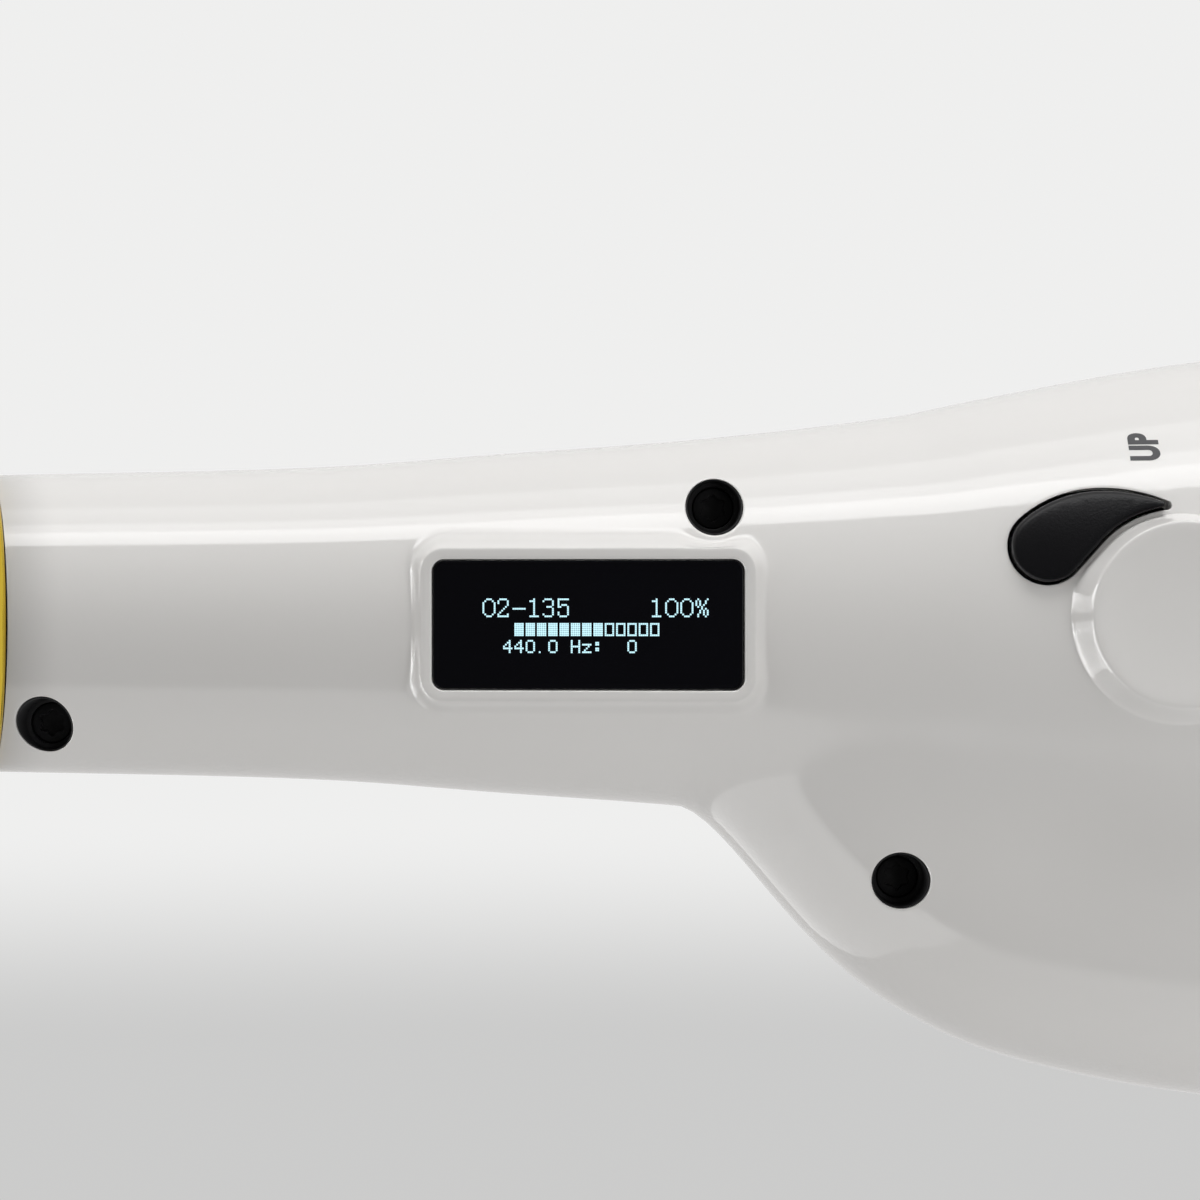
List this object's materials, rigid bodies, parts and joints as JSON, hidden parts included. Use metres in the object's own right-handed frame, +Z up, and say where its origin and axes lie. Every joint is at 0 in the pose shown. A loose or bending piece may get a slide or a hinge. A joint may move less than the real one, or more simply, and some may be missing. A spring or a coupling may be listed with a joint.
{
  "type": "digital wind controller",
  "caption": "Sax-shaped electronic wind instrument with a display and octave keys at the rear, finger keys in front and a bell with a loudspeaker.",
  "frame": {"origin": "centre of the eye of the strap ring", "axes": "+Z up along the body towards the mouthpiece; -Y towards the player, the side with the display and thumb rest; +X to the player's right"},
  "size_m": [0.1184, 0.3346, 0.6568],
  "materials": {
    "white_shell": "gloss moulded white",
    "gold_plate": "polished gold plate",
    "key_black": "satin black",
    "display_black": "black window glass",
    "display_glow": "lit dots",
    "label_grey": "printed lettering",
    "mouthpiece_black": "polished black",
    "reed_black": "satin",
    "screw_black": "black oxide",
    "cork": "natural cork",
    "steel": "nickel",
    "board_green": "solder mask",
    "hose_grey": "silicone",
    "cell_wrap": "shrink wrap"
  },
  "bodies": {
    "body": {"display_lens": "display_black", "display_panel": "display_black", "casing_screw_1": "screw_black", "casing_screw_2": "screw_black", "casing_screw_3": "screw_black", "casing_screw_4": "screw_black", "casing_screw_5": "screw_black", "casing_screw_6": "screw_black", "usb_c_socket": "steel", "headphone_socket": "steel", "rear_casing": "white_shell", "front_casing": "white_shell", "neck_ring": "gold_plate", "neck": "white_shell", "neck_cork": "cork", "foot_ring": "gold_plate", "bow_left": "white_shell", "bow_right": "white_shell", "bell": "white_shell", "bell_rim": "gold_plate", "bell_grille": "key_black", "loudspeaker": "steel", "strap_ring": "steel", "thumb_hook_plate": "steel", "main_board": "board_green", "key_sensor_board": "board_green", "battery_cell": "cell_wrap", "breath_sensor": "hose_grey", "air_hose": "hose_grey"},
    "front_f_key": {"front_f_key": "key_black"},
    "b_key": {"b_key": "key_black"},
    "bis_key": {"bis_key": "key_black"},
    "a_key": {"a_key": "key_black"},
    "g_key": {"g_key": "key_black"},
    "f_key": {"f_key": "key_black"},
    "e_key": {"e_key": "key_black"},
    "d_key": {"d_key": "key_black"},
    "high_f_sharp_key": {"high_f_sharp_key": "key_black"},
    "palm_f_key": {"palm_f_key": "key_black"},
    "palm_d_sharp_key": {"palm_d_sharp_key": "key_black"},
    "palm_d_key": {"palm_d_key": "key_black"},
    "side_e_key": {"side_e_key": "key_black"},
    "side_c_key": {"side_c_key": "key_black"},
    "side_b_flat_key": {"side_b_flat_key": "key_black"},
    "g_sharp_key": {"g_sharp_key": "key_black"},
    "low_c_sharp_key": {"low_c_sharp_key": "key_black"},
    "low_b_key": {"low_b_key": "key_black"},
    "low_b_flat_key": {"low_b_flat_key": "key_black"},
    "low_e_flat_key": {"low_e_flat_key": "key_black"},
    "low_c_key": {"low_c_key": "key_black"},
    "octave_up_key": {"octave_up_key": "key_black"},
    "octave_down_key": {"octave_down_key": "key_black"},
    "menu_plus_button": {"menu_plus_button": "key_black"},
    "menu_minus_button": {"menu_minus_button": "key_black"},
    "power_button": {"power_button": "key_black"},
    "mouthpiece": {"mouthpiece": "mouthpiece_black", "reed": "reed_black"},
    "thumb_hook": {"thumb_hook": "steel", "thumb_hook_screw": "gold_plate"}
  },
  "joints": [
    {"name": "front_f_key_press", "type": "slide", "parent": "body", "child": "front_f_key", "axis": [-0.0011, -0.9898, -0.1422], "range_m": [0, 0.0015], "stiffness_N_per_m": 400, "springref_m": -0.001},
    {"name": "b_key_press", "type": "slide", "parent": "body", "child": "b_key", "axis": [-0.001, -0.9973, -0.0738], "range_m": [0, 0.0015], "stiffness_N_per_m": 400, "springref_m": -0.001},
    {"name": "bis_key_press", "type": "slide", "parent": "body", "child": "bis_key", "axis": [-0.3742, -0.9262, -0.0466], "range_m": [0, 0.0015], "stiffness_N_per_m": 400, "springref_m": -0.001},
    {"name": "a_key_press", "type": "slide", "parent": "body", "child": "a_key", "axis": [-0.0009, -0.9997, -0.0239], "range_m": [0, 0.0015], "stiffness_N_per_m": 400, "springref_m": -0.001},
    {"name": "g_key_press", "type": "slide", "parent": "body", "child": "g_key", "axis": [-0.0004, -1, -0.0056], "range_m": [0, 0.0015], "stiffness_N_per_m": 400, "springref_m": -0.001},
    {"name": "f_key_press", "type": "slide", "parent": "body", "child": "f_key", "axis": [0, -1, 0.0019], "range_m": [0, 0.0015], "stiffness_N_per_m": 400, "springref_m": -0.001},
    {"name": "e_key_press", "type": "slide", "parent": "body", "child": "e_key", "axis": [0, -1, -0.0021], "range_m": [0, 0.0015], "stiffness_N_per_m": 400, "springref_m": -0.001},
    {"name": "d_key_press", "type": "slide", "parent": "body", "child": "d_key", "axis": [0, -1, -0.0069], "range_m": [0, 0.0015], "stiffness_N_per_m": 400, "springref_m": -0.001},
    {"name": "high_f_sharp_key_press", "type": "slide", "parent": "body", "child": "high_f_sharp_key", "axis": [-0.4945, -0.8692, 0], "range_m": [0, 0.0015], "stiffness_N_per_m": 400, "springref_m": -0.001},
    {"name": "palm_f_key_press", "type": "slide", "parent": "body", "child": "palm_f_key", "axis": [0.7539, -0.6428, -0.1356], "range_m": [0, 0.0015], "stiffness_N_per_m": 400, "springref_m": -0.001},
    {"name": "palm_d_sharp_key_press", "type": "slide", "parent": "body", "child": "palm_d_sharp_key", "axis": [0.7686, -0.6362, -0.0671], "range_m": [0, 0.0015], "stiffness_N_per_m": 400, "springref_m": -0.001},
    {"name": "palm_d_key_press", "type": "slide", "parent": "body", "child": "palm_d_key", "axis": [0.7721, -0.6262, 0.108], "range_m": [0, 0.0015], "stiffness_N_per_m": 400, "springref_m": -0.001},
    {"name": "side_e_key_press", "type": "slide", "parent": "body", "child": "side_e_key", "axis": [-0.9394, -0.3419, -0.0233], "range_m": [0, 0.0015], "stiffness_N_per_m": 400, "springref_m": -0.001},
    {"name": "side_c_key_press", "type": "slide", "parent": "body", "child": "side_c_key", "axis": [-0.9397, -0.342, 0.0019], "range_m": [0, 0.0015], "stiffness_N_per_m": 400, "springref_m": -0.001},
    {"name": "side_b_flat_key_press", "type": "slide", "parent": "body", "child": "side_b_flat_key", "axis": [-0.9397, -0.342, 0.0002], "range_m": [0, 0.0015], "stiffness_N_per_m": 400, "springref_m": -0.001},
    {"name": "g_sharp_key_press", "type": "slide", "parent": "body", "child": "g_sharp_key", "axis": [0.9891, -0.1474, -0.0002], "range_m": [0, 0.0015], "stiffness_N_per_m": 400, "springref_m": -0.001},
    {"name": "low_c_sharp_key_press", "type": "slide", "parent": "body", "child": "low_c_sharp_key", "axis": [0.9891, -0.1472, 0.0015], "range_m": [0, 0.0015], "stiffness_N_per_m": 400, "springref_m": -0.001},
    {"name": "low_b_key_press", "type": "slide", "parent": "body", "child": "low_b_key", "axis": [0.293, -0.9561, -0.0012], "range_m": [0, 0.0015], "stiffness_N_per_m": 400, "springref_m": -0.001},
    {"name": "low_b_flat_key_press", "type": "slide", "parent": "body", "child": "low_b_flat_key", "axis": [0.2929, -0.9561, 0.0015], "range_m": [0, 0.0015], "stiffness_N_per_m": 400, "springref_m": -0.001},
    {"name": "low_e_flat_key_press", "type": "slide", "parent": "body", "child": "low_e_flat_key", "axis": [-0.5299, -0.848, -0.0104], "range_m": [0, 0.0015], "stiffness_N_per_m": 400, "springref_m": -0.001},
    {"name": "low_c_key_press", "type": "slide", "parent": "body", "child": "low_c_key", "axis": [-0.5299, -0.848, -0.0113], "range_m": [0, 0.0015], "stiffness_N_per_m": 400, "springref_m": -0.001},
    {"name": "octave_up_key_press", "type": "slide", "parent": "body", "child": "octave_up_key", "axis": [0, 1, 0], "range_m": [0, 0.0012], "stiffness_N_per_m": 400, "springref_m": -0.001},
    {"name": "octave_down_key_press", "type": "slide", "parent": "body", "child": "octave_down_key", "axis": [0, 1, 0], "range_m": [0, 0.0012], "stiffness_N_per_m": 400, "springref_m": -0.001},
    {"name": "menu_plus_button_press", "type": "slide", "parent": "body", "child": "menu_plus_button", "axis": [-0.5878, 0.809, 0.0014], "range_m": [0, 0.0008], "stiffness_N_per_m": 900, "springref_m": -0.001},
    {"name": "menu_minus_button_press", "type": "slide", "parent": "body", "child": "menu_minus_button", "axis": [-0.5878, 0.809, 0.0001], "range_m": [0, 0.0008], "stiffness_N_per_m": 900, "springref_m": -0.001},
    {"name": "power_button_press", "type": "slide", "parent": "body", "child": "power_button", "axis": [0, 0.9999, -0.0118], "range_m": [0, 0.0008], "stiffness_N_per_m": 900, "springref_m": -0.001},
    {"name": "mouthpiece_turn", "type": "hinge", "parent": "body", "child": "mouthpiece", "pos_m": [0, -0.03912, 0.2615], "axis": [0, -0.9659, 0.2588], "range_deg": [-90, 90]},
    {"name": "thumb_hook_slide", "type": "slide", "parent": "body", "child": "thumb_hook", "axis": [0, 0, 1], "range_m": [-0.006, 0.006]}
  ]
}
